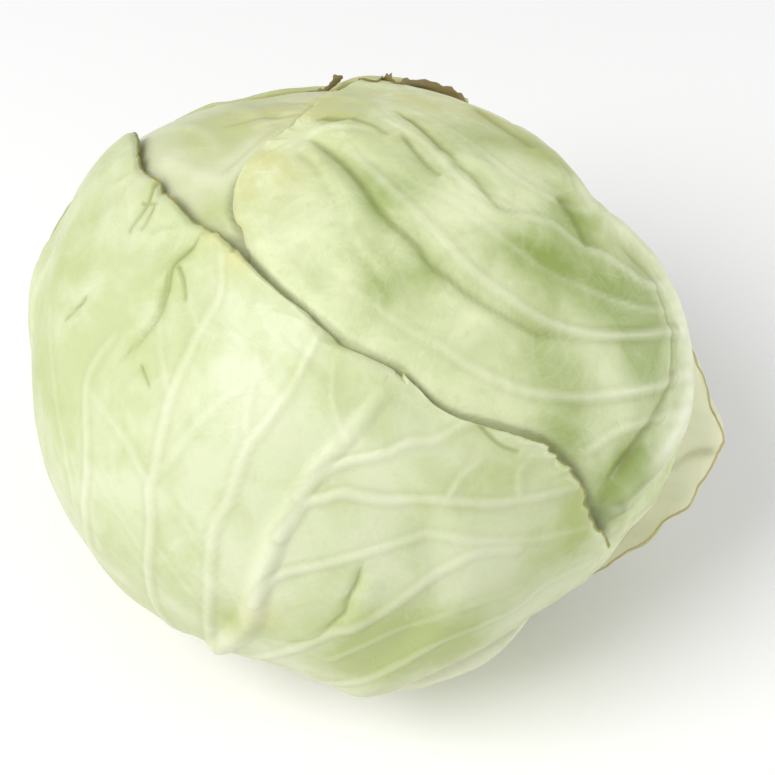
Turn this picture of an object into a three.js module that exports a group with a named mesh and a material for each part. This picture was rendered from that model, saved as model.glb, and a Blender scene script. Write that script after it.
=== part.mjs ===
import * as THREE from "three";
import { mergeVertices } from "three/addons/utils/BufferGeometryUtils.js";

// A white cabbage head resting a little tilted: a dense inner head, four
// overlapping outer leaves and the cut stem stub. Millimetres, +Z up, the flat
// spot it rests on is centred on the origin.

const DEG = Math.PI / 180;

// The dense inner head: half sizes along X, Y and Z, and its centre's height.
const HEAD_HALF = [95.5, 88.5, 82.5];
const HEAD_HEIGHT = 82;

// Broad swellings and hollows: direction, height in mm, width in degrees.
const LOBES = [
  { toward: [-0.75, 0.45, 0.5], height: 8.5, width: 26 },
  { toward: [0.8, 0.39, 0.45], height: -5, width: 14 },
  { toward: [0.62, -0.7, -0.33], height: -5, width: 22 },
  { toward: [-0.3, -0.86, -0.4], height: -3, width: 18 },
  { toward: [0, -0.9, -0.42], height: 4, width: 12 },
];

// The stem points down and toward the front left.
const STEM_TILT = 30;
const STEM_HEADING = 233.13;
const STEM_RADIUS = 14;
const STEM_INNER = 70.6;
const STEM_OUTER = 84;
const STEM_SEAT = 69.4;
const SEAT_EDGE = 12;
const SEAT_RISE = 46;

// Leaf blades and the gaps between them.
const BLADE = 1.2;
const GAP = 1.3;
const LAYER = BLADE + GAP;
const COVER_FALL = 8;
const BASE_SLACK = 0.45;
const RELIEF_NEAR = 3;
const RELIEF_FAR = 10;

// How the leaves' cross lines bend, and how a leaf's left half turns beyond its
// base, as shares of the way from the midrib to the margin.
const BEND = 0.3;
const BEND_ACROSS = 0.5;

// Each leaf: its longitude round the stem, the height of its margin's waves in
// mm, the turn of its left half, its grid cells across, and its outline rows
// from the stem to the tip, in degrees on the leaf's own chart: midrib along
// and across, left margin along, across and lift in mm, right margin along,
// across and lift in mm.
const LEAVES = [
  {
    name: "leaf_crown",
    longitude: 108,
    wave: 0.25,
    turn: 0,
    across: 30,
    rows: [
      [14, -8, 14, -18, 0, 14, 8, 0],
      [30, -18, 36, -36, 0, 34, 24, 0],
      [50, -25, 60, -46, 0, 60, 38, 0],
      [74, -31, 86, -52, 0, 92, 50, 0],
      [97, -30, 112, -60, 0, 124, 56, 0],
      [110, -12, 136, -67, 0, 150, 54, 0],
      [122, 2, 162, -69, 0, 170, 48, 0],
      [142, 11, 186, -65, 0, 184, 38, 1],
      [164, 13, 206, -56, 0.3, 195, 26, 1],
      [184, 8, 214, -42, 0.3, 201, 14, 1],
      [198, -2, 216, -33, 0.3, 203, 4, 0.8],
      [206, -12, 211, -22, 0.5, 205, -5, 0.5],
    ],
    ribs: [
      { width: 8, height: 6.5, tip: 0.25, line: [[14, -8], [30, -18], [50, -25], [74, -31], [90, -32],
        [98, -27], [103, -17], [109, -3], [116, 5.5], [124, 9.5], [131, 11.5], [138, 8], [144, 1], [149, -4]] },
      { width: 4, height: 1.6, tip: 0.4, line: [[120, 5], [127, -15], [132, -25], [138, -31.5], [144, -34.5],
        [160, -36.5], [168, -34.5], [181, -30], [194, -22]] },
      { width: 4, height: 1.2, tip: 0.2, line: [[114, 1], [116, -11], [121, -29], [131, -44], [141, -49],
        [164, -53], [180, -52]] },
      { width: 4, height: 1.3, tip: 0.3, line: [[128, 9], [136, -7], [146, -14], [158, -20], [170, -21],
        [181, -14], [190, -10]] },
      { width: 4, height: 1.2, tip: 0.2, line: [[97, -31], [108, 0], [128, 26], [150, 40]] },
      { width: 4, height: 1.2, tip: 0.2, line: [[60, -28], [74, 0], [92, 26], [108, 42]] },
    ],
    folds: [
      { width: 4.5, height: 1.9, line: [[153, -5], [160, 2], [166, 7], [173, 10], [182, 12]] },
      { width: 4.5, height: 1.5, line: [[143, -8], [149, -1], [156, 6], [162, 13], [170, 18]] },
      { width: 4, height: 1.2, line: [[203, -17], [194, -18], [186, -22], [178, -24]] },
      { width: 4, height: 1.1, line: [[198, -27], [190, -34], [184, -39], [176, -44], [168, -46]] },
    ],
  },
  {
    name: "leaf_back",
    longitude: 256,
    wave: 0.5,
    turn: 0,
    across: 22,
    rows: [
      [14, 0, 14, -11, 0, 14, 11, 0],
      [32, 1, 34, -28, 0, 34, 28, 0],
      [54, 2, 60, -42, 0, 62, 44, 0],
      [80, 2, 88, -50, 0, 90, 50, 0],
      [106, 0, 114, -50, 0, 106, 36, 0],
      [126, -5, 136, -44, 0.5, 118, 20, 0],
      [142, -9, 150, -36, 0.5, 132, 13, 0.3],
      [152, -13, 158, -28, 0.5, 142, 5, 0.3],
      [159, -17, 163, -24, 0.5, 153, -6, 0.5],
    ],
    ribs: [
      { width: 8, height: 6, tip: 0.1, line: [[14, 0], [32, 1], [54, 2], [80, 2], [106, 0], [128, -4],
        [146, -9]] },
      { width: 4, height: 1.4, tip: 0.2, line: [[30, 1], [54, -14], [84, -30], [106, -38]] },
      { width: 4, height: 1.4, tip: 0.2, line: [[34, 1], [60, 15], [88, 30], [104, 36]] },
      { width: 4, height: 1.4, tip: 0.2, line: [[62, 2], [88, -12], [114, -24], [136, -28]] },
      { width: 4, height: 1.4, tip: 0.2, line: [[70, 2], [94, 12], [114, 20], [124, 20]] },
    ],
    folds: [],
  },
  {
    name: "leaf_under",
    longitude: 171,
    wave: 0.9,
    turn: 0,
    across: 24,
    rows: [
      [14, 0, 14, -11, 0, 14, 11, 0],
      [30, 0, 34, -34, 0, 34, 32, 0],
      [50, 0, 54, -60, 0, 60, 50, 0],
      [68, 0, 76, -74, 2, 84, 58, 0],
      [84, 0, 92, -69, 5, 106, 52, 0.5],
      [96, -1, 103, -64, 8, 119, 42, 1],
      [105, -2, 110.5, -55, 9, 126, 30, 1],
      [112, -3, 114, -44, 4.5, 129, 18, 1],
      [119, -4, 118, -29, 1, 130, 8, 0.5],
      [125, -5, 122, -18, 0.5, 130, 0, 0.5],
    ],
    ribs: [
      { width: 8, height: 7, tip: 0.1, line: [[14, 0], [50, 0], [88, 0], [104, -2], [114, -4], [122, -5]] },
      { width: 4, height: 1.5, tip: 0.2, line: [[36, 0], [58, -20], [78, -42], [92, -60]] },
      { width: 4, height: 1.5, tip: 0.2, line: [[36, 0], [60, 16], [84, 34], [96, 42]] },
      { width: 4, height: 1.5, tip: 0.2, line: [[58, 0], [80, -20], [98, -40]] },
      { width: 4, height: 1.5, tip: 0.2, line: [[64, 0], [92, 14], [116, 28]] },
    ],
    folds: [],
  },
  {
    name: "leaf_front",
    longitude: 21,
    wave: 0.7,
    turn: 0.45,
    across: 36,
    rows: [
      [14, -3, 14, -13, 0, 15, 8, 0],
      [26, -6, 32, -42, 0, 28, 20, 0],
      [38, -8, 60, -66, 0, 46, 42, 0],
      [50, -7, 98, -77, 0, 66, 58, 0],
      [62, -4, 140, -76, 0, 85, 65, 1.5],
      [74, -1, 178, -62, 1, 98, 58, 1],
      [83, 1, 162, -55.5, 1, 106, 52, 0.5],
      [89, 3, 153, -53, 1.5, 111, 47.5, 1],
      [94, 4, 146, -47, 1.5, 114, 43, 1],
      [99, 5.5, 139, -42, 1.5, 115.5, 38, 1],
      [103, 6.5, 132.5, -32, 2, 115, 32, 1],
      [107, 7.5, 130.5, -26, 2.5, 114.5, 27, 1],
      [111, 8, 127, -20.5, 3, 114, 22, 0.5],
      [114.5, 8.5, 123, -12, 2, 115, 17, 0.5],
      [118, 9, 120, -3, 1.2, 118, 11, 0.5],
    ],
    ribs: [
      { width: 6, height: 3.4, tip: 0.12, line: [[14, -3], [28, -6], [40, -5], [52, -2], [62, 0], [72, 0],
        [83, 0.5], [95, 2.5], [104, 6], [113, 9]] },
      { width: 4, height: 1.2, tip: 0.2, line: [[22, -5], [42, -33], [58, -35], [74, -37], [90, -43],
        [104, -41]] },
      { width: 4, height: 1.3, tip: 0.2, line: [[24, -5], [49, -19], [72, -21], [84, -23], [98, -25], [112, -25],
        [126, -25]] },
      { width: 4, height: 1.4, tip: 0.2, line: [[28, -5], [40, -7], [63, -8], [80, -10], [96, -9], [111, -5],
        [120, -4]] },
      { width: 4, height: 1.2, tip: 0.2, line: [[92, 2], [99, 6], [104, 13], [109, 20], [113, 23]] },
      { width: 4, height: 1.3, tip: 0.2, line: [[84, 1], [93, 6], [96, 16], [101, 33], [105, 41], [109, 47]] },
      { width: 4, height: 1.1, tip: 0.2, line: [[68, 0], [80, 8], [90, 22], [94, 40], [99, 54]] },
      { width: 4, height: 1.5, tip: 0.2, line: [[34, -5], [42, 2], [58, 10], [67, 17], [80, 26], [90, 33],
        [92, 40]] },
      { width: 4, height: 1.2, tip: 0.2, line: [[26, 0], [36, 12], [56, 28], [68, 39], [80, 50], [84, 60]] },
    ],
    folds: [
      { width: 4, height: 1.8, line: [[131, -29], [126, -31], [119, -37], [111, -36], [101, -41]] },
      { width: 4, height: 1.5, line: [[152, -50], [146, -44], [138, -42], [130, -43]] },
      { width: 4, height: 1.2, line: [[82, 18], [74, 18], [66, 17], [58, 13]] },
    ],
  },
];

// Ridges on the inner head where it shows between the front and crown leaves.
const HEAD_RIDGES = [
  { width: 4, height: 1.2, line: [[153, -50], [149, -42], [144, -32], [140, -26]] },
  { width: 5, height: 1.4, line: [[188, -46], [176, -38], [162, -30]] },
];
const HEAD_DETAIL = 10;

function smooth(low, high, value) {
  const t = Math.min(1, Math.max(0, (value - low) / (high - low)));
  return t * t * (3 - 2 * t);
}

// The head's own frame: the stem direction and the two directions across it.
const heading = new THREE.Vector3(Math.cos(STEM_HEADING * DEG), Math.sin(STEM_HEADING * DEG), 0);
const stemward = heading.clone().multiplyScalar(Math.sin(STEM_TILT * DEG));
stemward.z = -Math.cos(STEM_TILT * DEG);
const lonZero = heading.clone().multiplyScalar(Math.cos(STEM_TILT * DEG));
lonZero.z = Math.sin(STEM_TILT * DEG);
const lonNinety = new THREE.Vector3().crossVectors(lonZero, stemward);

function meridian(longitude) {
  return lonZero.clone().multiplyScalar(Math.cos(longitude * DEG))
    .addScaledVector(lonNinety, Math.sin(longitude * DEG));
}

// Chart degrees to a direction from the head's centre, and back.
function chartToDirection(longitude, [along, across]) {
  return stemward.clone().multiplyScalar(Math.cos(across * DEG) * Math.cos(along * DEG))
    .addScaledVector(meridian(longitude), Math.cos(across * DEG) * Math.sin(along * DEG))
    .addScaledVector(meridian(longitude + 90), Math.sin(across * DEG));
}

function directionToChart(longitude, direction) {
  const across = Math.asin(Math.min(1, Math.max(-1, direction.dot(meridian(longitude + 90))))) / DEG;
  const along = Math.atan2(direction.dot(meridian(longitude)), direction.dot(stemward)) / DEG;
  return [along < -60 ? along + 360 : along, across];
}

// Distance in degrees from a chart point to a line of chart points, with the
// share of the line's length at which it is nearest.
function nearestOnLine(point, line) {
  let best = { distance: Infinity, share: 0 };
  for (let i = 0; i + 1 < line.length; i += 1) {
    const [a, b] = [line[i], line[i + 1]];
    const squeeze = Math.cos(point[1] * DEG);
    const step = [(b[0] - a[0]) * squeeze, b[1] - a[1]];
    const reach = [(point[0] - a[0]) * squeeze, point[1] - a[1]];
    const length = step[0] * step[0] + step[1] * step[1];
    const t = Math.min(1, Math.max(0, (reach[0] * step[0] + reach[1] * step[1]) / length));
    const distance = Math.hypot(reach[0] - t * step[0], reach[1] - t * step[1]);
    if (distance < best.distance) {
      best = { distance, share: (i + t) / (line.length - 1) };
    }
  }
  return best;
}

function ridgeHeight(ridges, point) {
  let height = 0;
  for (const { width, height: full, tip = 1, line } of ridges) {
    const { distance, share } = nearestOnLine(point, line);
    const taper = 1 + (tip - 1) * share;
    const x = distance / (width * (0.5 + 0.5 * taper));
    if (x < 1) {
      height = Math.max(height, full * taper * (1 - x * x) ** 2);
    }
  }
  return height;
}

// A smooth curve through the outline rows, v from 0 at the stem to 1 at the tip.
function rowAt(rows, v) {
  const place = Math.min(v * (rows.length - 1), rows.length - 1.000001);
  const i = Math.floor(place);
  const t = place - i;
  const [p0, p1, p2, p3] = [i - 1, i, i + 1, i + 2].map((k) => rows[Math.min(rows.length - 1, Math.max(0, k))]);
  return p1.map((value, k) => value + 0.5 * t * (p2[k] - p0[k] + t * (2 * p0[k] - 5 * value + 4 * p2[k] - p3[k]
    + t * (3 * (value - p2[k]) + p3[k] - p0[k]))));
}

// Chart position for v along the leaf and u from -1 (left margin) to 1 (right).
function leafChart(leaf, u, v) {
  const row = rowAt(leaf.rows, v);
  const side = u < 0 ? [row[2], row[3]] : [row[5], row[6]];
  const t = Math.abs(u);
  const bendAlong = row[0] + BEND * (side[0] - row[0]);
  const turn = u < 0 ? leaf.turn * smooth(0.2, 0.4, v) : 0;
  const bendAcross = row[1] + (BEND_ACROSS + turn) * (side[1] - row[1]);
  const [c0, c1, c2] = [(1 - t) * (1 - t), 2 * t * (1 - t), t * t];
  return [c0 * row[0] + c1 * bendAlong + c2 * side[0], c0 * row[1] + c1 * bendAcross + c2 * side[1]];
}

// How far the margin stands off, waved along the edge.
function marginLift(leaf, u, v) {
  const row = rowAt(leaf.rows, v);
  const side = Math.max(0, u < 0 ? row[4] : row[7]);
  const wave = leaf.wave * (1 + Math.sin(v * 40 + (u < 0 ? 1 : 0))) * smooth(0.15, 0.4, v);
  const atTip = Math.max(0, 0.5 * (row[4] + row[7])) * smooth(0.86, 1, v);
  return Math.max((side + wave) * smooth(0.55, 1, Math.abs(u)), atTip);
}

for (const leaf of LEAVES) {
  const steps = Array.from({ length: 41 }, (_, i) => i / 40);
  const left = steps.map((v) => leafChart(leaf, -1, v));
  const tip = [-0.5, 0, 0.5].map((u) => leafChart(leaf, u, 1));
  const right = steps.map((v) => leafChart(leaf, 1, v)).reverse();
  leaf.outline = [...left, ...tip, ...right, left[0]];
}

// Signed distance in degrees to a leaf's outline, negative inside it.
function outsideLeaf(leaf, direction) {
  const point = directionToChart(leaf.longitude, direction);
  let inside = false;
  for (let i = 0; i + 1 < leaf.outline.length; i += 1) {
    const [a, b] = [leaf.outline[i], leaf.outline[i + 1]];
    if (a[0] > point[0] !== b[0] > point[0]) {
      const across = a[1] + (b[1] - a[1]) * (point[0] - a[0]) / (b[0] - a[0]);
      inside = across > point[1] ? !inside : inside;
    }
  }
  const { distance } = nearestOnLine(point, leaf.outline);
  return inside ? -distance : distance;
}

// The dense head's radius: an ellipsoid with lobes, shallow dents and the flat
// seat of the stem.
function headRadius(direction) {
  const [a, b, c] = HEAD_HALF;
  let radius = 1 / Math.hypot(direction.x / a, direction.y / b, direction.z / c);
  for (const { toward, height, width } of LOBES) {
    const angle = direction.angleTo(new THREE.Vector3(...toward)) / DEG;
    radius += height * Math.exp(-((angle / width) ** 2));
  }
  radius += 0.8 * Math.sin(5 * direction.x + 1) * Math.sin(6 * direction.y) * Math.cos(5 * direction.z);
  const fromStem = direction.angleTo(stemward) / DEG;
  const seat = STEM_SEAT / Math.max(0.3, direction.dot(stemward));
  const rise = smooth(SEAT_EDGE, SEAT_RISE, fromStem);
  return fromStem < SEAT_RISE ? seat + (radius - seat) * rise : radius;
}

// The radii of a layer: how many blades lie below and above this direction.
// The blades lie a little looser around the stem.
function layerRadii(level, direction) {
  const layer = LAYER * (1 + BASE_SLACK * (1 - smooth(34, 50, direction.angleTo(stemward) / DEG)));
  let below = headRadius(direction) + layer - BLADE;
  let above = 0;
  let relief = 1;
  for (const [i, leaf] of LEAVES.entries()) {
    if (i === level) {
      continue;
    }
    const outside = outsideLeaf(leaf, direction);
    const cover = 1 - smooth(1, COVER_FALL, outside);
    if (i < level) {
      below += layer * cover;
    } else {
      above += layer * cover;
      relief = Math.min(relief, smooth(RELIEF_NEAR, RELIEF_FAR, outside));
    }
  }
  const floor = direction.z < 0 ? (HEAD_HEIGHT - above) / -direction.z : Infinity;
  return { below, relief, floor };
}

// A closed blade from two like-triangulated faces and the rim between them.
function bladeGeometry(outer, inner, columns) {
  const positions = [...outer, ...inner].flatMap((point) => point.toArray());
  const rows = outer.length / columns;
  const indices = [];
  const face = (a, b, c) => {
    indices.push(a, b, c);
    indices.push(a + outer.length, c + outer.length, b + outer.length);
  };
  for (let i = 0; i + 1 < rows; i += 1) {
    for (let j = 0; j + 1 < columns; j += 1) {
      const [a, b] = [i * columns + j, i * columns + j + 1];
      const [c, d] = [a + columns, b + columns];
      if (outer[a].distanceTo(outer[d]) < outer[b].distanceTo(outer[c])) {
        face(a, b, d);
        face(a, d, c);
      } else {
        face(a, b, c);
        face(b, d, c);
      }
    }
  }
  const rim = [];
  for (let j = 0; j < columns; j += 1) {
    rim.push(j);
  }
  for (let i = 1; i < rows; i += 1) {
    rim.push(i * columns + columns - 1);
  }
  for (let j = columns - 2; j >= 0; j -= 1) {
    rim.push((rows - 1) * columns + j);
  }
  for (let i = rows - 2; i >= 0; i -= 1) {
    rim.push(i * columns);
  }
  for (let k = 0; k + 1 < rim.length; k += 1) {
    const [a, b] = [rim[k], rim[k + 1]];
    indices.push(b, a, a + outer.length);
    indices.push(b, a + outer.length, b + outer.length);
  }
  const geometry = new THREE.BufferGeometry();
  geometry.setAttribute("position", new THREE.Float32BufferAttribute(positions, 3));
  geometry.setIndex(indices);
  return geometry;
}

function leafGeometry(level) {
  const leaf = LEAVES[level];
  const columns = leaf.across + 1;
  const rows = leaf.across + 3;
  const centre = new THREE.Vector3(0, 0, HEAD_HEIGHT);
  const outer = [];
  const inner = [];
  for (let i = 0; i < rows; i += 1) {
    for (let j = 0; j < columns; j += 1) {
      const v = i / (rows - 1);
      const u = 2 * j / (columns - 1) - 1;
      const point = leafChart(leaf, u, v);
      const direction = chartToDirection(leaf.longitude, point);
      const { below, relief, floor } = layerRadii(level, direction);
      const lift = relief * (marginLift(leaf, u, v) + ridgeHeight(leaf.folds, point));
      const rib = relief * ridgeHeight(leaf.ribs, point);
      const outerRadius = Math.min(below + BLADE + lift + rib, floor);
      const innerRadius = Math.min(below + lift, floor - BLADE);
      outer.push(centre.clone().addScaledVector(direction, outerRadius));
      inner.push(centre.clone().addScaledVector(direction, innerRadius));
    }
  }
  return bladeGeometry(outer, inner, columns);
}

function headGeometry() {
  const ball = new THREE.IcosahedronGeometry(1, HEAD_DETAIL);
  ball.deleteAttribute("normal");
  ball.deleteAttribute("uv");
  const geometry = mergeVertices(ball, 1e-5);
  const position = geometry.getAttribute("position");
  const direction = new THREE.Vector3();
  for (let i = 0; i < position.count; i += 1) {
    direction.fromBufferAttribute(position, i).normalize();
    const { relief, floor } = layerRadii(-1, direction);
    const ridge = relief * ridgeHeight(HEAD_RIDGES, directionToChart(21, direction));
    const radius = Math.min(headRadius(direction) + ridge, floor);
    position.setXYZ(i, direction.x * radius, direction.y * radius, direction.z * radius + HEAD_HEIGHT);
  }
  return geometry;
}

// The cut stem: a stub with a slightly domed face, its waist kept clear of the
// leaf bases.
function stemGeometry() {
  const profile = [
    [0, STEM_INNER],
    [STEM_RADIUS - 0.5, STEM_INNER],
    [STEM_RADIUS, STEM_INNER + 0.8],
    [STEM_RADIUS - 0.4, STEM_OUTER - 3],
    [STEM_RADIUS - 1.6, STEM_OUTER - 1],
    [STEM_RADIUS * 0.5, STEM_OUTER - 0.2],
    [0, STEM_OUTER],
  ];
  const geometry = new THREE.LatheGeometry(profile.map(([x, y]) => new THREE.Vector2(x, y)), 24);
  geometry.deleteAttribute("normal");
  geometry.deleteAttribute("uv");
  const closed = mergeVertices(geometry, 1e-5);
  const turn = new THREE.Quaternion().setFromUnitVectors(new THREE.Vector3(0, 1, 0), stemward);
  closed.applyQuaternion(turn);
  closed.translate(0, 0, HEAD_HEIGHT);
  return closed;
}

function material(colour, roughness) {
  return new THREE.MeshStandardMaterial({ color: colour, roughness, metalness: 0 });
}

const LEAF_PALE = material(0xe6edc6, 0.5);
const LEAF_GREEN = material(0xc9d49c, 0.5);
const LEAF_DRY = material(0xa9a069, 0.6);
const HEART = material(0xe4e8bf, 0.5);
const STEM_CUT = material(0xe9e3c8, 0.6);

const LEAF_MATERIALS = {
  leaf_front: LEAF_PALE,
  leaf_crown: LEAF_GREEN,
  leaf_under: LEAF_PALE,
  leaf_back: LEAF_DRY,
};

const cabbage = new THREE.Group();
cabbage.name = "cabbage_head";

function add(name, geometry, surface) {
  const mesh = new THREE.Mesh(geometry, surface);
  mesh.name = name;
  cabbage.add(mesh);
}

add("inner_head", headGeometry(), HEART);
add("stem_stub", stemGeometry(), STEM_CUT);
for (const [level, leaf] of LEAVES.entries()) {
  add(leaf.name, leafGeometry(level), LEAF_MATERIALS[leaf.name]);
}

export default cabbage;
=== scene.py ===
import bpy
import numpy as np
from mathutils import Matrix


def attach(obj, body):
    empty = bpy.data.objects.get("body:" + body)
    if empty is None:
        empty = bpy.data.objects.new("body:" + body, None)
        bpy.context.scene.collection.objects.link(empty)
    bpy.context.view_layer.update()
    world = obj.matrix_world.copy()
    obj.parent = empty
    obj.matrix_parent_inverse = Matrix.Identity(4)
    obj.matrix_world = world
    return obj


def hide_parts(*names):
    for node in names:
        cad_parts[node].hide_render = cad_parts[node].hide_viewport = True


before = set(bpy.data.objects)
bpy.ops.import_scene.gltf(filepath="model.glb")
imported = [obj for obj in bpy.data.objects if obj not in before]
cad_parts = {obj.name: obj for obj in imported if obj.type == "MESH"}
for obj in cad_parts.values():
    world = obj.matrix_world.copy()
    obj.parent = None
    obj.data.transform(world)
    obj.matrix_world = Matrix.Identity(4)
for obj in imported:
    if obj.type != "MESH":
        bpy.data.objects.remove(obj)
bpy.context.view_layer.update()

# A white cabbage head: dense inner head, four outer leaves and the cut stem.
# Lengths are in millimetres until a mesh is made, angles in degrees.
DEG = np.pi / 180
MM = 0.001

# The inner head is an ellipsoid with lobes, each a direction, a height and a
# width, a low wave all over, and a flat seat for the stem.
HEAD_HALF = (95.5, 88.5, 82.5)
HEAD_HEIGHT = 82.0
HEAD_CENTRE = np.array([0.0, 0.0, HEAD_HEIGHT])
LOBES = (
    ((-0.75, 0.45, 0.5), 8.5, 26),
    ((0.8, 0.39, 0.45), -5, 14),
    ((0.62, -0.7, -0.33), -5, 22),
    ((-0.3, -0.86, -0.4), -3, 18),
    ((0, -0.9, -0.42), 4, 12),
)
HEAD_WAVE = 0.8
STEM_TILT, STEM_HEADING = 30, 233.13
STEM_RADIUS, STEM_INNER, STEM_OUTER = 14.0, 70.6, 84.0
STEM_DOME, STEM_POLE = 0.2, 0.001
STEM_GRID, STEM_FLUTES = (70, 120), 9
STEM_SEAT, SEAT_EDGE, SEAT_RISE = 69.4, 12, 46

# Leaf blades and the gaps between them. A blade comes down over COVER_FALL past
# the margin of one below it, lies looser round the stem, and has its relief
# only where no blade lies over it. Beside a margin above, a blade steps up to
# meet it, and the nook there gets painted shade, a darker strip in its colour.
BLADE, EDGE_BLADE = 1.2, 0.5
GAP = 1.3
LAYER = BLADE + GAP
COVER_FALL = 8
BASE_SLACK, SLACK_FROM, SLACK_TO = 0.45, 34, 50
RELIEF_NEAR, RELIEF_FAR = 1.0, 4.5
REST_LIFT, LEAST_LIFT = 0.5, -0.75
NOOK_WIDTH = 0.8
STEP_UP = 1.1
FAR_AWAY = 90.0

# How far the curves from the midrib to the margins bend, and how much of a
# leaf's length is drawn in where a side margin meets the tip.
BEND, BEND_ACROSS = 0.3, 0.5
CORNER = 0.02

# Ridges stand on a skirt this many times as wide, with faint painted shade beside them.
SKIRT_WIDTH = 3
VEIN_SHADE_AT, VEIN_SHADE_WIDTH = 1.3, 0.6
LINE_STEPS = 4

# Soft noises: height, size and seed of each, read on a ball of NOISE_BALL.
NOISE_BALL = 90
LEAF_SWELLS = ((0.55, 26, 1), (0.3, 11, 5), (0.1, 5, 11))
HEAD_SWELLS = ((0.4, 24, 3), (0.2, 9, 4))
PUCKER_SEED, HEAD_PUCKER_SEED = 41, 51
PLEATS, PLEAT_SHARPNESS = 2.4, 0.8
HASH, HASH_SPREAD, SEED_STEP = np.array([12.9898, 78.233, 37.719]), 43758.5453, 17.3

# Along a margin: its waves, its small ruffles and its nicks.
MARGIN_WAVES, MARGIN_RUFFLES, MARGIN_NICKS = 40, 30, 26

# A leaf's own map holds this many degrees in one unit.
MAP_DEGREES = 90

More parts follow.
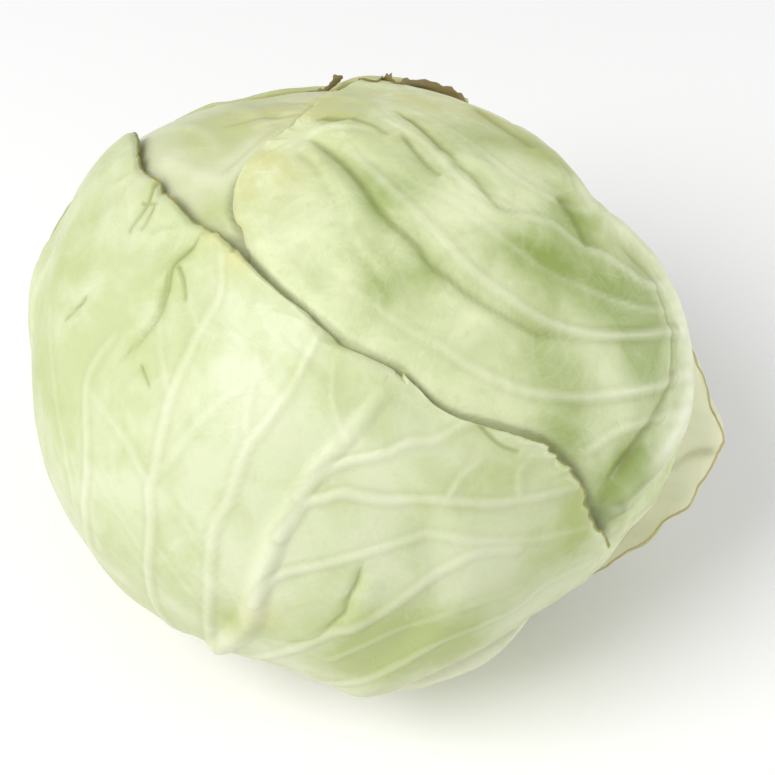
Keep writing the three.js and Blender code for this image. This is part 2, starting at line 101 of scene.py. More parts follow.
# Each leaf. Outline rows run from the stem to the tip: midrib along and across,
# left margin along, across and lift in mm, right margin along, across and lift.
# turn is how far its left half swings round, grid its rows and columns, crowd
# how far the rows crowd toward the tip. shades says that its margin darkens
# what lies beside it. wave and ruffle are the margin's waves, rag how torn it
# is, tuck how far its edge dips. Ribs, veins, folds and creases are width,
# height, the height left at the line's end, and chart points. Puckers are
# place, radius and height; patches of deeper green and yellowed stains are
# place, radius and amount.
CROWN_LEAF = dict(
    name="leaf_crown", slot="leaf_green", longitude=108, turn=0,
    grid=(347, 221), crowd=1.35, shades=True,
    wave=0.25, rag=0.02, ruffle=0.25, tuck=0.8,
    rows=(
        (14, -8, 14, -18, 0, 14, 8, 0),
        (30, -18, 36, -36, 0, 34, 24, 0),
        (50, -25, 60, -46, 0, 60, 38, 0),
        (74, -31, 86, -52, 0, 92, 50, 0),
        (97, -30, 112, -60, 0, 124, 56, 0),
        (110, -12, 136, -67, 0, 150, 54, 0),
        (122, 2, 162, -69, 0, 170, 48, 0),
        (142, 11, 186, -65, 0, 184, 38, 1),
        (164, 13, 206, -56, 0.3, 195, 26, 1),
        (184, 8, 214, -42, 0.3, 201, 14, 1),
        (198, -2, 216, -33, 0.3, 203, 4, 0.8),
        (206, -12, 211, -22, 0.5, 205, -5, 0.5),
    ),
    ribs=(
        (6.4, 6.2, 0.25, (
            (14, -8), (30, -18), (50, -25), (74, -31), (90, -32), (98, -27), (103, -17), (109, -3),
            (116, 5.5), (124, 9.5), (131, 11.5), (138, 8), (144, 1), (149, -4))),
    ),
    veins=(
        (1.7, 1.2, 0.3, (
            (120, 5), (123, -3), (127, -15), (132, -25), (138, -31.5), (144, -34.5), (153, -36.5),
            (160, -36.5), (168, -34.5), (181, -30), (194, -22))),
        (1.4, 0.8, 0.2, (
            (114, 1), (116, -11), (121, -29), (125, -37), (131, -44), (141, -49), (150, -51),
            (164, -53), (180, -52))),
        (1.4, 0.88, 0.3, (
            (128, 9), (132, -3), (136, -7), (142, -11), (146, -14), (152, -16), (158, -20),
            (170, -21), (181, -14), (190, -10))),
        (1.3, 0.48, 0.2, (
            (124, 8), (127, -3), (133, -14), (144, -24), (153, -27), (165, -27), (170, -26),
            (179, -26), (184, -23))),
        (1.3, 0.64, 0.2, (
            (109, -4), (111, -15), (113, -26), (112, -33), (113, -38), (118, -48), (126, -56))),
        (1.2, 0.56, 0.2, (
            (131, 11), (140, 3), (147, -4), (155, -10), (163, -12), (172, -9), (182, -4))),
        (1.7, 0.96, 0.2, ((97, -31), (108, 0), (128, 26), (150, 40))),
        (1.7, 0.96, 0.2, ((86, -32), (96, 0), (112, 28), (132, 44))),
        (1.7, 0.96, 0.2, ((60, -28), (74, 0), (92, 26), (108, 42))),
        (1.7, 0.88, 0.2, ((149, -4), (158, 6), (168, 16), (178, 24), (184, 30))),
        (1.6, 0.8, 0.2, ((131, 11.5), (146, 22), (160, 32), (170, 39))),
    ),
    folds=(
        (4.5, 1.9, 0.5, ((153, -5), (160, 2), (166, 7), (173, 10), (182, 12))),
        (4.0, 1.5, 0.6, ((143, -8), (149, -1), (156, 6), (162, 13), (170, 18))),
        (3.5, 1.2, 0.5, ((203, -17), (194, -18), (186, -22), (178, -24))),
        (3.5, 1.1, 0.5, ((198, -27), (190, -34), (184, -39), (176, -44), (168, -46))),
        (3.0, 1.1, 0.4, ((178, -16), (170, -14), (163, -16), (156, -12))),
    ),
    creases=(
        (1.5, 1.6, 0.5, (
            (204, -20), (200, -21), (195, -24.5), (188, -30), (183, -34), (178, -36.5),
            (171, -38.5), (166, -40.5), (160, -40.5), (153, -40.5), (143, -37.5), (137, -34),
            (131, -27))),
        (1.4, 1.5, 0.4, (
            (190, -4), (186, -6), (180, -11), (174, -16), (169, -18), (162, -21.5), (156, -18))),
        (1.3, 0.9, 0.4, ((186, -13), (181, -18), (177, -21), (174, -22))),
        (1.8, 0.35, 0.3, ((186, -43), (181, -46), (173, -49), (167, -51))),
        (1.8, 0.3, 0.3, ((186, -38), (182, -42), (171, -46), (160, -51))),
        (2.2, 1.5, 0.6, (
            (104, -30), (106, -25), (110, -18), (113.5, -9), (118, -2), (124, 0.5), (131, 2),
            (137, -1.5), (142, -4))),
        (2.2, 1.0, 0.5, ((155, -8), (151, -9), (147, -11), (144, -13))),
        (2.0, 0.7, 0.5, ((178, 11), (172, 7), (167, 4), (163, 1))),
        (1.5, 0.8, 0.4, ((203, -14), (197, -12), (192, -13), (187, -16))),
        (1.5, 0.45, 0.4, ((204, -24), (199, -28), (195, -33), (190, -38))),
    ),
    puckers=((203, -19, 16, 0.9),),
    patches=(
        (148, -24, 6, 0.85), (156, -28, 5, 0.4), (165, -43, 4, 0.45), (132, -35, 6, 0.5),
        (174, -49, 5, 0.45), (137, -18, 9, 0.8), (128, -8, 9, 0.8), (122, -16, 7, 0.8),
        # The patches at (103, -24) and (97, -27) are painted shade on the rib's lower, shaded part.
        (121, -36, 8, 0.6), (103, -24, 8, 0.9), (97, -27, 6, 0.8), (151, -10, 7, 0.5),
        (160, 2, 7, 0.5), (172, -4, 8, 0.45), (182, -30, 6, 0.35), (200, 1, 7, 0.35),
    ),
    stains=(
        (203, -16, 8, 1.0), (203, -2, 7, 0.9), (211, -30, 9, 1.0), (191, 4, 9, 0.8),
        (176, 8, 10, 0.9), (162, 5, 8, 0.7), (186, -12, 6, 0.6), (140, 4, 8, 0.5),
    ),
)
BACK_LEAF = dict(
    name="leaf_back", slot="leaf_dry", longitude=256, turn=0,
    grid=(241, 241), crowd=1.1, shades=False,
    wave=0.2, rag=0.02, ruffle=0.25, tuck=0.9,
    rows=(
        (14, 0, 14, -11, 0, 14, 11, 0),
        (32, 1, 34, -28, 0, 34, 28, 0),
        (54, 2, 60, -42, 0, 62, 44, 0),
        (80, 2, 88, -50, 0, 90, 50, 0),
        (106, 0, 114, -50, 0, 106, 36, 0),
        (126, -5, 136, -44, 0.5, 118, 20, 0),
        (142, -9, 150, -36, 0.5, 132, 13, 0.3),
        (152, -13, 158, -28, 0.5, 142, 5, 0.3),
        (159, -17, 163, -24, 0.5, 153, -6, 0.5),
    ),
    ribs=(
        (6.5, 6, 0.1, ((14, 0), (32, 1), (54, 2), (80, 2), (106, 0), (128, -4), (146, -9))),
    ),
    veins=(
        (1.7, 0.96, 0.2, ((30, 1), (54, -14), (84, -30), (106, -38), (120, -40))),
        (1.7, 0.96, 0.2, ((34, 1), (60, 15), (88, 30), (104, 36))),
        (1.6, 0.88, 0.2, ((62, 2), (88, -12), (114, -24), (136, -28), (146, -28))),
        (1.6, 0.88, 0.2, ((70, 2), (94, 12), (114, 20), (124, 20))),
        (1.6, 0.8, 0.2, ((92, 1), (112, -7), (132, -15), (148, -19))),
        (1.4, 0.72, 0.2, ((98, 1), (114, 6), (130, 8), (140, 5))),
        (1.6, 0.8, 0.2, ((20, 1), (40, -18), (66, -34), (88, -44))),
        (1.6, 0.8, 0.2, ((22, 1), (44, 20), (68, 36), (88, 44))),
    ),
    folds=(
        (4, 1.0, 0.4, ((146, -20), (130, -24), (116, -28))),
        (4, 1.0, 0.4, ((132, 14), (118, 12), (104, 14))),
    ),
    creases=(
        (1.6, 0.8, 0.4, ((138, -32), (124, -32), (110, -30))),
        (1.6, 0.8, 0.4, ((126, 22), (112, 24), (98, 22))),
    ),
    puckers=(),
    patches=((120, -10, 12, 0.6), (90, 25, 12, 0.5), (90, -25, 14, 0.6)),
    stains=((150, 0, 6, 0.8), (156, -14, 6, 0.8)),
)
UNDER_LEAF = dict(
    name="leaf_under", slot="leaf_under", longitude=171, turn=0,
    grid=(241, 261), crowd=1.1, shades=True,
    wave=0.9, rag=0.02, ruffle=0.6, tuck=0,
    rows=(
        (14, 0, 14, -11, 0, 14, 11, 0),
        (30, 0, 34, -34, 0, 34, 32, 0),
        (50, 0, 54, -60, 0, 60, 50, 0),
        (68, 0, 76, -74, 2, 84, 58, 0),
        (84, 0, 92, -69, 5, 106, 52, 0.5),
        (96, -1, 103, -64, 8, 119, 42, 1),
        (105, -2, 110.5, -55, 9, 126, 30, 1),
        (112, -3, 114, -44, 4.5, 129, 18, 1),
        (119, -4, 118, -29, 1, 130, 8, 0.5),
        (125, -5, 122, -18, 0.5, 130, 0, 0.5),
    ),
    ribs=(
        (7, 7, 0.1, ((14, 0), (50, 0), (88, 0), (104, -2), (114, -4), (122, -5))),
    ),
    veins=(
        (1.7, 1.04, 0.2, ((24, 0), (44, -22), (64, -46), (78, -62))),
        (1.7, 1.04, 0.2, ((36, 0), (58, -20), (78, -42), (92, -60))),
        (1.7, 1.04, 0.2, ((36, 0), (60, 16), (84, 34), (96, 42))),
        (1.6, 0.96, 0.2, ((58, 0), (80, -20), (98, -40), (107, -52))),
        (1.6, 0.96, 0.2, ((64, 0), (92, 14), (116, 28))),
        (1.4, 0.8, 0.2, ((82, 0), (98, -14), (112, -30), (116, -38))),
        (1.4, 0.8, 0.2, ((86, 0), (106, 8), (124, 14))),
        (1.6, 0.88, 0.2, ((22, 0), (44, 20), (66, 38), (84, 50))),
    ),
    folds=(
        (4.0, 1.0, 0.3, ((110, -48), (98, -46), (86, -44))),
    ),
    creases=(
        (1.6, 0.8, 0.4, ((108, -58), (98, -52), (90, -50))),
    ),
    puckers=(),
    patches=((90, 20, 14, 0.4), (60, -30, 14, 0.4)),
    stains=((90, -74, 6, 0.9), (76, -76, 8, 1.0)),
)
FRONT_LEAF = dict(
    name="leaf_front", slot="leaf_pale", longitude=21, turn=0.45,
    grid=(281, 273), crowd=1.1, shades=True,
    wave=0.3, rag=0.03, ruffle=0.6, tuck=1.1,
    rows=(
        (14, -3, 14, -13, 0, 15, 8, 0),
        (26, -6, 32, -42, 0, 28, 20, 0),
        (38, -8, 60, -66, 0, 46, 42, 0),
        (50, -7, 98, -77, 0, 66, 58, 0),
        (62, -4, 140, -76, 0, 85, 65, 1.5),
        (74, -1, 178, -62, 1, 98, 58, 1),
        (83, 1, 162, -55.5, 1, 106, 52, 0.5),
        (89, 3, 153, -53, 1.5, 111, 47.5, 1),
        (94, 4, 146, -47, 1.5, 114, 43, 1),
        (99, 5.5, 139, -42, 1.5, 115.5, 38, 1),
        (103, 6.5, 132.5, -32, 2, 115, 32, 1),
        (107, 7.5, 130.5, -26, 2.5, 114.5, 27, 1),
        (111, 8, 127, -20.5, 3, 114, 22, 0.5),
        (114.5, 8.5, 123, -12, 2, 115, 17, 0.5),
        (118, 9, 120, -3, 1.2, 118, 11, 0.5),
    ),
    ribs=(
        (3.6, 3.2, 0.15, (
            (14, -3), (28, -6), (40, -5), (52, -2), (62, 0), (72, 0), (83, 0.5), (87, 1),
            (95, 2.5), (104, 6), (113, 9))),
    ),
    veins=(
        (1.4, 0.42, 0.3, (
            (24, -6), (38, -26), (49, -34), (58, -38), (64, -40), (75, -47), (84, -54),
            (98, -62))),
        (1.5, 0.72, 0.3, (
            (22, -5), (34, -26), (42, -33), (58, -35), (65, -36), (74, -37), (80, -39), (90, -43),
            (97, -43), (104, -41))),
        (1.5, 0.78, 0.3, (
            (24, -5), (36, -14), (49, -19), (72, -21), (80, -23), (84, -23), (92, -24), (98, -25),
            (106, -25), (112, -25), (120, -24), (126, -25))),
        (1.2, 0.42, 0.2, ((84, -23), (88, -21), (95, -19), (100, -17), (108, -12), (114, -9))),
        (1.2, 0.42, 0.2, ((82, -24), (86, -30), (89, -40), (90, -43))),
        (1.6, 0.84, 0.3, (
            (28, -5), (40, -7), (63, -8), (71, -9), (80, -10), (87, -9), (96, -9), (103, -7),
            (111, -5), (120, -4))),
        (1.0, 0.3, 0.2, ((97, -9), (102, -11), (108, -12), (113, -14))),
        (1.4, 0.72, 0.3, ((92, 2), (95, 3), (99, 6), (104, 13), (107, 16), (109, 20), (113, 23))),
        (1.5, 0.78, 0.3, (
            (84, 1), (87, 2), (91, 3), (93, 6), (95, 9), (96, 16), (99, 24), (101, 33), (103, 37),
            (105, 41), (109, 47))),
        (1.0, 0.42, 0.2, ((99, 25), (104, 26), (108, 28))),
        (1.0, 0.42, 0.2, ((103, 37), (108, 35), (112, 36))),
        (1.4, 0.66, 0.2, (
            (68, 0), (75, 2), (80, 8), (85, 15), (90, 22), (92, 26), (94, 40), (99, 54))),
        (2.0, 0.9, 0.3, (
            (34, -5), (42, 2), (58, 10), (65, 14), (67, 17), (75, 23), (80, 26), (86, 30),
            (90, 33), (92, 40))),
        (1.4, 0.66, 0.2, (
            (26, 0), (36, 12), (44, 20), (56, 28), (64, 33), (68, 39), (73, 46), (80, 50),
            (84, 60))),
        (1.2, 0.42, 0.2, ((54, 15), (65, 23), (71, 30), (75, 34), (81, 44))),
        (1.4, 0.54, 0.2, ((20, -5), (32, -36), (56, -60), (88, -70), (120, -70))),
        (0.9, 0.3, 0.2, ((64, -21), (70, -28), (76, -37))),
        (0.9, 0.3, 0.2, ((72, -9), (78, -15), (82, -23))),
        (0.9, 0.3, 0.2, ((58, -8), (64, -14), (70, -21))),
        (0.9, 0.3, 0.2, ((112, -25), (118, -30), (124, -33))),
        (0.9, 0.3, 0.2, ((98, -25), (106, -31), (112, -34))),
        (0.9, 0.3, 0.2, ((60, 0), (68, -4), (72, -9))),
        (0.9, 0.3, 0.2, ((104, 6), (109, 2), (115, 0))),
    ),
    folds=(
        (3.2, 1.5, 0.5, ((131, -29), (126, -31), (119, -37), (111, -36), (101, -41))),
        (3.0, 1.3, 0.5, ((152, -50), (146, -44), (138, -42), (130, -43))),
        (3.0, 1.1, 0.4, ((128, -18), (122, -18), (114, -20))),
        (3.0, 1.0, 0.4, ((158, -58), (142, -54), (124, -54))),
        (3.4, 1.0, 0.4, ((82, 18), (74, 18), (66, 17), (58, 13))),
    ),
    creases=(
        (1.01, 1.35, 0.4, (
            (131, -31), (126, -33), (122, -35), (116, -34.5), (112, -34), (107, -35),
            (98, -38.5))),
        (0.86, 0.81, 0.4, ((123, -34), (120, -32), (116, -30))),
        (0.94, 0.9, 0.4, ((146, -47), (137, -46), (132, -47), (128, -48.5))),
        (0.78, 0.72, 0.5, ((136.5, -47.5), (136, -43))),
        (0.78, 0.72, 0.4, ((136, -44), (129, -45.5))),
        (0.74, 0.99, 0.3, (
            (84, 15.3), (79, 15.6), (74, 15), (71, 15.2), (68, 14), (63, 12), (60, 10), (56, 6))),
        (0.86, 0.72, 0.5, ((115, 24), (112, 30), (112, 34))),
        (0.78, 0.72, 0.4, ((101, -33.5), (98, -29.5))),
        (0.78, 0.81, 0.4, ((109, -52), (99, -55.5))),
        (0.94, 0.9, 0.4, ((129.5, -24), (127, -23))),
    ),
    puckers=((132, -33, 15, 0.8), (148, -48, 11, 0.8)),
    patches=(
        (75, -48, 8, 0.2), (63, -24, 8, 0.4), (68, 23, 8, 0.5), (92, 50, 9, 0.45),
        (54, 22, 9, 0.7), (104, 50, 8, 0.4), (60, 36, 8, 0.7), (76, 40, 6, 0.4), (92, 24, 5, 0.3),
        (104, 30, 6, 0.35), (140, -58, 7, 0.3), (122, -62, 7, 0.3), (78, -60, 7, 0.2),
        (58, -2, 5, 0.6),
    ),
    stains=(
        (131, -29, 3, 1.0), (128, -22, 4, 1.0), (62, 1, 3.5, 0.4), (54, -2, 4, 0.6),
        (146, -47, 5, 0.6), (66, 2, 4, 0.6),
    ),
)

# From the inside of the stack to the outside.
LEAVES = (CROWN_LEAF, BACK_LEAF, UNDER_LEAF, FRONT_LEAF)

# The inner head's marks, in the front leaf's chart.
HEAD_RIDGES = (
    (3.5, 1.2, 0.5, ((153, -50), (149, -42), (144, -32), (140, -26))),
    (3.5, 1.0, 0.5, ((188, -46), (176, -38), (162, -30))),
    (2.4, 0.8, 0.4, ((178, -56), (168, -46), (158, -40))),
    (2.0, 0.8, 0.4, ((146, -34), (156, -29), (168, -26), (182, -24))),
)
HEAD_CREASES = (
    (1.5, 0.9, 0.4, ((170, -25), (164, -30), (156, -33), (148, -36))),
    (1.5, 0.8, 0.4, ((172, -26), (172, -34), (168, -42))),
    (1.5, 0.8, 0.4, ((174, -24), (182, -30), (188, -36))),
)
HEAD_PUCKERS = ((171, -25, 12, 0.7),)
HEAD_PATCHES = (
    (137, -33, 6, 0.6), (150, -39, 6, 0.2), (184, -44, 8, 0.5), (168, -42, 8, 0.9), (177, -35, 7, 0.8),
)
HEAD_STAINS = ((170, -26, 9, 1.0), (181, -29, 7, 0.8), (176, -38, 8, 0.5))
HEAD_GRID = (190, 400)
HEAD_MARK = 0.6
HEAD_STEP_CROWN, HEAD_STEP_BACK = 1.5, 1.8

# Dried brown scraps of the back leaf's margin: half width in mm, curl, lean in
# degrees, and along, across and radius of their points.
DRY_SCRAPS = (
    (1.5, 0.5, 50, ((142, 5, 87.5), (148, 4, 87), (149.5, 3, 88), (150, 1, 90), (151, 0, 92))),
    (2.9, 0.9, 35, (
        (152, -3, 88), (155, -1, 88), (158, -1, 88.6), (156.5, -4, 89.8), (157.5, -6, 89.6),
        (160, -7, 88))),
    (1.9, 0.6, 60, (
        (154, -4, 88), (158, -3, 88), (160, -6, 89.2), (159, -10, 90.6), (159, -14, 91.6),
        (161, -17, 92.4), (162, -19, 92.2), (163, -21, 91.4), (165, -22, 90))),
)
SCRAP_GRID = (90, 24)
SCRAP_HALF_THICK = 0.3
SCRAP_MAP = 150

CREASE_ANGLE = 65


# The head's own directions.


def unit(vector):
    """The vector over its own length."""
    vector = np.asarray(vector, float)
    return vector / np.linalg.norm(vector)


def smooth(low, high, value):
    """A smooth step from 0 at low to 1 at high."""
    t = np.clip((value - low) / (high - low), 0, 1)
    return t * t * (3 - 2 * t)


HEADING = np.array([np.cos(STEM_HEADING * DEG), np.sin(STEM_HEADING * DEG), 0.0])
UPWARD = np.array([0.0, 0.0, 1.0])
STEMWARD = HEADING * np.sin(STEM_TILT * DEG) - UPWARD * np.cos(STEM_TILT * DEG)
LON_ZERO = HEADING * np.cos(STEM_TILT * DEG) + UPWARD * np.sin(STEM_TILT * DEG)
LON_NINETY = np.cross(LON_ZERO, STEMWARD)


def meridian(longitude):
    """The direction square to the stem at a longitude round it."""
    return np.cos(longitude * DEG) * LON_ZERO + np.sin(longitude * DEG) * LON_NINETY


def chart_direction(longitude, along, across):
    """Direction = cos(across) (cos(along) stem + sin(along) midrib) + sin(across) side."""
    a, b = along * DEG, across * DEG
    return (
        (np.cos(b) * np.cos(a))[..., None] * STEMWARD
        + (np.cos(b) * np.sin(a))[..., None] * meridian(longitude)
        + np.sin(b)[..., None] * meridian(longitude + 90)
    )


def around_stem(axial, radial, angle):
    """A point axial along the stem's direction and radial out from it, at an angle round it."""
    return (
        axial[..., None] * STEMWARD
        + (radial * np.cos(angle))[..., None] * LON_ZERO
        + (radial * np.sin(angle))[..., None] * LON_NINETY
    )


def direction_chart(longitude, direction):
    """The chart degrees of a direction, the inverse of chart_direction."""
    across = np.arcsin(np.clip(direction @ meridian(longitude + 90), -1, 1)) / DEG
    along = np.arctan2(direction @ meridian(longitude), direction @ STEMWARD) / DEG
    return np.where(along < -60, along + 360, along), across


def angle_from(direction, toward):
    """Degrees between directions, from their dot product."""
    return np.arccos(np.clip(direction @ unit(toward), -1, 1)) / DEG


def nearest_on_line(along, across, line):
    """Least distance in degrees to a line of chart points, and the share of its length there."""
    line = np.asarray(line, float)
    best = np.full(along.shape, np.inf)
    share = np.zeros(along.shape)
    squeeze = np.cos(across * DEG)
    count = len(line) - 1
    for i, (a, b) in enumerate(zip(line[:-1], line[1:])):
        step_x, step_y = (b[0] - a[0]) * squeeze, b[1] - a[1]
        reach_x, reach_y = (along - a[0]) * squeeze, across - a[1]
        length = np.maximum(step_x * step_x + step_y * step_y, 1e-9)
        t = np.clip((reach_x * step_x + reach_y * step_y) / length, 0, 1)
        distance = np.hypot(reach_x - t * step_x, reach_y - t * step_y)
        closer = distance < best
        best = np.where(closer, distance, best)
        share = np.where(closer, (i + t) / count, share)
    return best, share


def rounded(line):
    """A smooth curve through a line's points, LINE_STEPS pieces from each to the next."""
    return row_at(line, np.linspace(0, 1, (len(line) - 1) * LINE_STEPS + 1))


def wander(points, size, seed):
    """Smooth noise from -1 to 1: lattice values hashed with a sine and blended by a smooth step."""
    place = points / size + seed * SEED_STEP
    cell = np.floor(place)
    t = place - cell
    t = t * t * (3 - 2 * t)
    total = 0
    for corner in range(2 ** place.shape[-1]):
        offset = np.array([(corner >> k) & 1 for k in range(place.shape[-1])])
        weight = np.prod(np.where(offset, t, 1 - t), axis=-1)
        value = np.sin((cell + offset) @ HASH[: place.shape[-1]]) * HASH_SPREAD
        total = total + weight * (2 * (value - np.floor(value)) - 1)
    return total


# Outlines, layers and relief.


def row_at(rows, v):
    """A smooth cubic curve through the rows, v from 0 at the first to 1 at the last."""
    rows = np.asarray(rows, float)
    v = np.asarray(v, float)
    place = np.minimum(v * (len(rows) - 1), len(rows) - 1.000001)
    i = np.floor(place).astype(int)
    t = (place - i)[..., None]
    p0, p1, p2, p3 = (rows[np.clip(i + k, 0, len(rows) - 1)] for k in (-1, 0, 1, 2))
    cubic = 2 * p0 - 5 * p1 + 4 * p2 - p3 + t * (3 * (p1 - p2) + p3 - p0)
    return p1 + 0.5 * t * (p2 - p0 + t * cubic)


def leaf_chart(leaf, u, v):
    """Chart place of a leaf's point: quadratic curves swept from the midrib to both margins."""
    row = row_at(leaf["rows"], v)
    left = u < 0
    margin_along = np.where(left, row[..., 2], row[..., 5])
    margin_across = np.where(left, row[..., 3], row[..., 6])
    t = np.abs(u)
    bend_along = row[..., 0] + BEND * (margin_along - row[..., 0])
    turn = np.where(left, leaf["turn"] * smooth(0.2, 0.4, v), 0)
    bend_across = row[..., 1] + (BEND_ACROSS + turn) * (margin_across - row[..., 1])
    c0, c1, c2 = (1 - t) ** 2, 2 * t * (1 - t), t * t
    along = c0 * row[..., 0] + c1 * bend_along + c2 * margin_along
    across = c0 * row[..., 1] + c1 * bend_across + c2 * margin_across
    return along, across


def leaf_outline(leaf):
    """A leaf's closed outline in its chart: left margin, tip and right margin."""
    v = np.linspace(0, 1, 61)
    left = np.stack(leaf_chart(leaf, np.full(v.size, -1.0), v), -1)
    tip = np.stack(leaf_chart(leaf, np.array([-0.5, 0, 0.5]), np.ones(3)), -1)
    right = np.stack(leaf_chart(leaf, np.ones(v.size), v), -1)[::-1]
    return np.concatenate([left, tip, right, left[:1]])


OUTLINES = [leaf_outline(leaf) for leaf in LEAVES]


def outside_leaf(index, direction):
    """Signed distance in degrees to a leaf's outline, negative inside it."""
    along, across = direction_chart(LEAVES[index]["longitude"], direction)
    line = OUTLINES[index]
    inside = np.zeros(along.shape, bool)
    for a, b in zip(line[:-1], line[1:]):
        if a[0] != b[0]:
            crossing = a[1] + (b[1] - a[1]) * (along - a[0]) / (b[0] - a[0])
            inside ^= ((a[0] > along) != (b[0] > along)) & (crossing > across)
    distance, _ = nearest_on_line(along, across, line)
    return np.where(inside, -distance, distance)


def head_radius(direction):
    """An ellipsoid's radius, with lobes added and the stem's flat seat blended in."""
    radius = 1 / np.linalg.norm(direction / np.array(HEAD_HALF), axis=-1)
    for toward, height, width in LOBES:
        radius = radius + height * np.exp(-((angle_from(direction, toward) / width) ** 2))
    x, y, z = direction[..., 0], direction[..., 1], direction[..., 2]
    radius = radius + HEAD_WAVE * np.sin(5 * x + 1) * np.sin(6 * y) * np.cos(5 * z)
    from_stem = angle_from(direction, STEMWARD)
    seat = STEM_SEAT / np.maximum(0.3, direction @ STEMWARD)
    rise = smooth(SEAT_EDGE, SEAT_RISE, from_stem)
    return np.where(from_stem < SEAT_RISE, seat + (radius - seat) * rise, radius)


def layer_radii(level, direction):
    """Radius of a blade's inner side, its relief's fade, the floor's limit, the nearest margin above.

    The inner side lies on the head, one gap up, and one layer more over each blade below.
    """
    slack = 1 - smooth(SLACK_FROM, SLACK_TO, angle_from(direction, STEMWARD))
    layer = LAYER * (1 + BASE_SLACK * slack)
    below = head_radius(direction) + layer - BLADE
    above = 0
    relief = np.ones(direction.shape[:-1])
    nearest = np.full(direction.shape[:-1], FAR_AWAY)
    for index, leaf in enumerate(LEAVES):
        if index == level:
            continue
        outside = outside_leaf(index, direction)
        cover = 1 - smooth(1, COVER_FALL, outside)
        if index < level:
            below = below + layer * cover
            continue
        above = above + layer * cover
        relief = np.minimum(relief, smooth(RELIEF_NEAR, RELIEF_FAR, outside))
        if leaf["shades"]:
            nearest = np.minimum(nearest, outside)
    down = np.maximum(-direction[..., 2], 1e-6)
    floor = np.where(direction[..., 2] < 0, (HEAD_HEIGHT - above) / down, 1e6)
    return below, relief, floor, nearest


def nook(distance):
    """Painted shade beside a margin above, exp(-(distance / width) squared)."""
    return np.exp(-((np.maximum(0, distance) / NOOK_WIDTH) ** 2))


def step_beside(distance, fall=(9, 1.5), rise=(0.2, 1.2)):
    """A rise from 0 to 1 just past a margin, and a slow fall beyond it."""
    return smooth(*fall, distance) * smooth(*rise, distance)


def ridge(lines, along, across, skirt=0.0, ends=False):
    """Height (1 - x squared) squared over lines, part of it in a wide skirt, and its core, skirt and
    painted shade beside it.

    The height falls along each line to the share given; with ends, it also fades in and out.
    """
    height, centre, broad, vein_shade = np.zeros((4, *along.shape))
    for width, full, tip, line in lines:
        distance, share = nearest_on_line(along, across, rounded(line))
        taper = 1 + (tip - 1) * share
        if ends:
            taper = taper * smooth(0, 0.16, share) * smooth(1, 0.88, share)
        x = distance / (width * (0.5 + 0.5 * taper))
        core = (1 - np.minimum(1, x) ** 2) ** 2
        low = (1 - np.minimum(1, x / SKIRT_WIDTH) ** 2) ** 2
        height = np.maximum(height, full * taper * ((1 - skirt) * core + skirt * low))
        strength = min(1, full / 0.8) * taper ** 0.6
        centre = np.maximum(centre, core * strength)
        broad = np.maximum(broad, low * strength)
        vein_shade = np.maximum(vein_shade, strength * np.exp(-((distance - VEIN_SHADE_AT) / VEIN_SHADE_WIDTH) ** 2))
    return height, centre, broad, vein_shade


def spots(places, along, across):
    """Sum of soft round spots, amount exp(-(distance / radius) squared), at most 1."""
    total = np.zeros(along.shape)
    squeeze = np.cos(across * DEG)
    for spot_along, spot_across, radius, amount in places:
        square = ((along - spot_along) * squeeze) ** 2 + (across - spot_across) ** 2
        total = total + amount * np.exp(-square / radius ** 2)
    return np.minimum(total, 1)


def pucker(places, along, across, seed):
    """Creases radiating from a point: ridged noise over the angle round it, fading outward."""
    total = np.zeros(along.shape)
    squeeze = np.cos(across * DEG)
    for spot_along, spot_across, radius, height in places:
        x, y = (along - spot_along) * squeeze, across - spot_across
        distance = np.hypot(x, y)
        turn = np.arctan2(y, x)
        ring = np.stack([np.cos(turn) * PLEATS, np.sin(turn) * PLEATS, distance / 9], -1)
        pleat = 1 - 2 * np.abs(wander(ring, 1.0, seed)) ** PLEAT_SHARPNESS
        fade = np.exp(-((distance / radius) ** 2)) * smooth(1, 8, distance)
        total = total + height * pleat * fade
    return total


def swell(direction, noises, level=0):
    """Sum of soft noises over the head, each with its own height, size and seed."""
    points = direction * NOISE_BALL
    return sum(height * wander(points, size, seed + level) for height, size, seed in noises)


def margin_lift(leaf, u, v):
    """The margin's stand-off: its rows' lift and a sine along it, small ruffles, and a dip at the edge."""
    row = row_at(leaf["rows"], v)
    side = np.maximum(0, np.where(u < 0, row[..., 4], row[..., 7]))
    wave = leaf["wave"] * (1 + np.sin(v * MARGIN_WAVES + (u < 0))) * smooth(0.15, 0.4, v)
    at_tip = np.maximum(0, 0.5 * (row[..., 4] + row[..., 7])) * smooth(0.86, 1, v)
    t = np.abs(u)
    lift = np.maximum((side + wave) * smooth(0.55, 1, t), at_tip)
    edge = np.maximum(smooth(0.86, 1, t), smooth(0.93, 1, v))
    curl = np.maximum(smooth(0.965, 1, t), smooth(0.98, 1, v))
    around = np.stack([v * MARGIN_RUFFLES, np.sign(u) * 3 + 0 * v], -1)
    small = wander(around, 1.0, 21) + 0.5 * wander(around * 2.2, 1.0, 22)
    return lift + edge * leaf["ruffle"] * small + curl * (0.5 * leaf["ruffle"] - leaf["tuck"])


# Meshes.


MASKS = ("vein", "rib", "vein_shade", "edge", "nook", "crease", "patch", "stain", "base", "inner_side")


def leaf_masks(count, **given):
    """Every mask that the leaf skin reads, zero where it isn't given."""
    return {key: given.get(key, np.zeros(count)) for key in MASKS}


def new_object(name, data):
    """A new object in the scene, with its data."""
    piece = bpy.data.objects.new(name, data)
    bpy.context.scene.collection.objects.link(piece)
    return piece


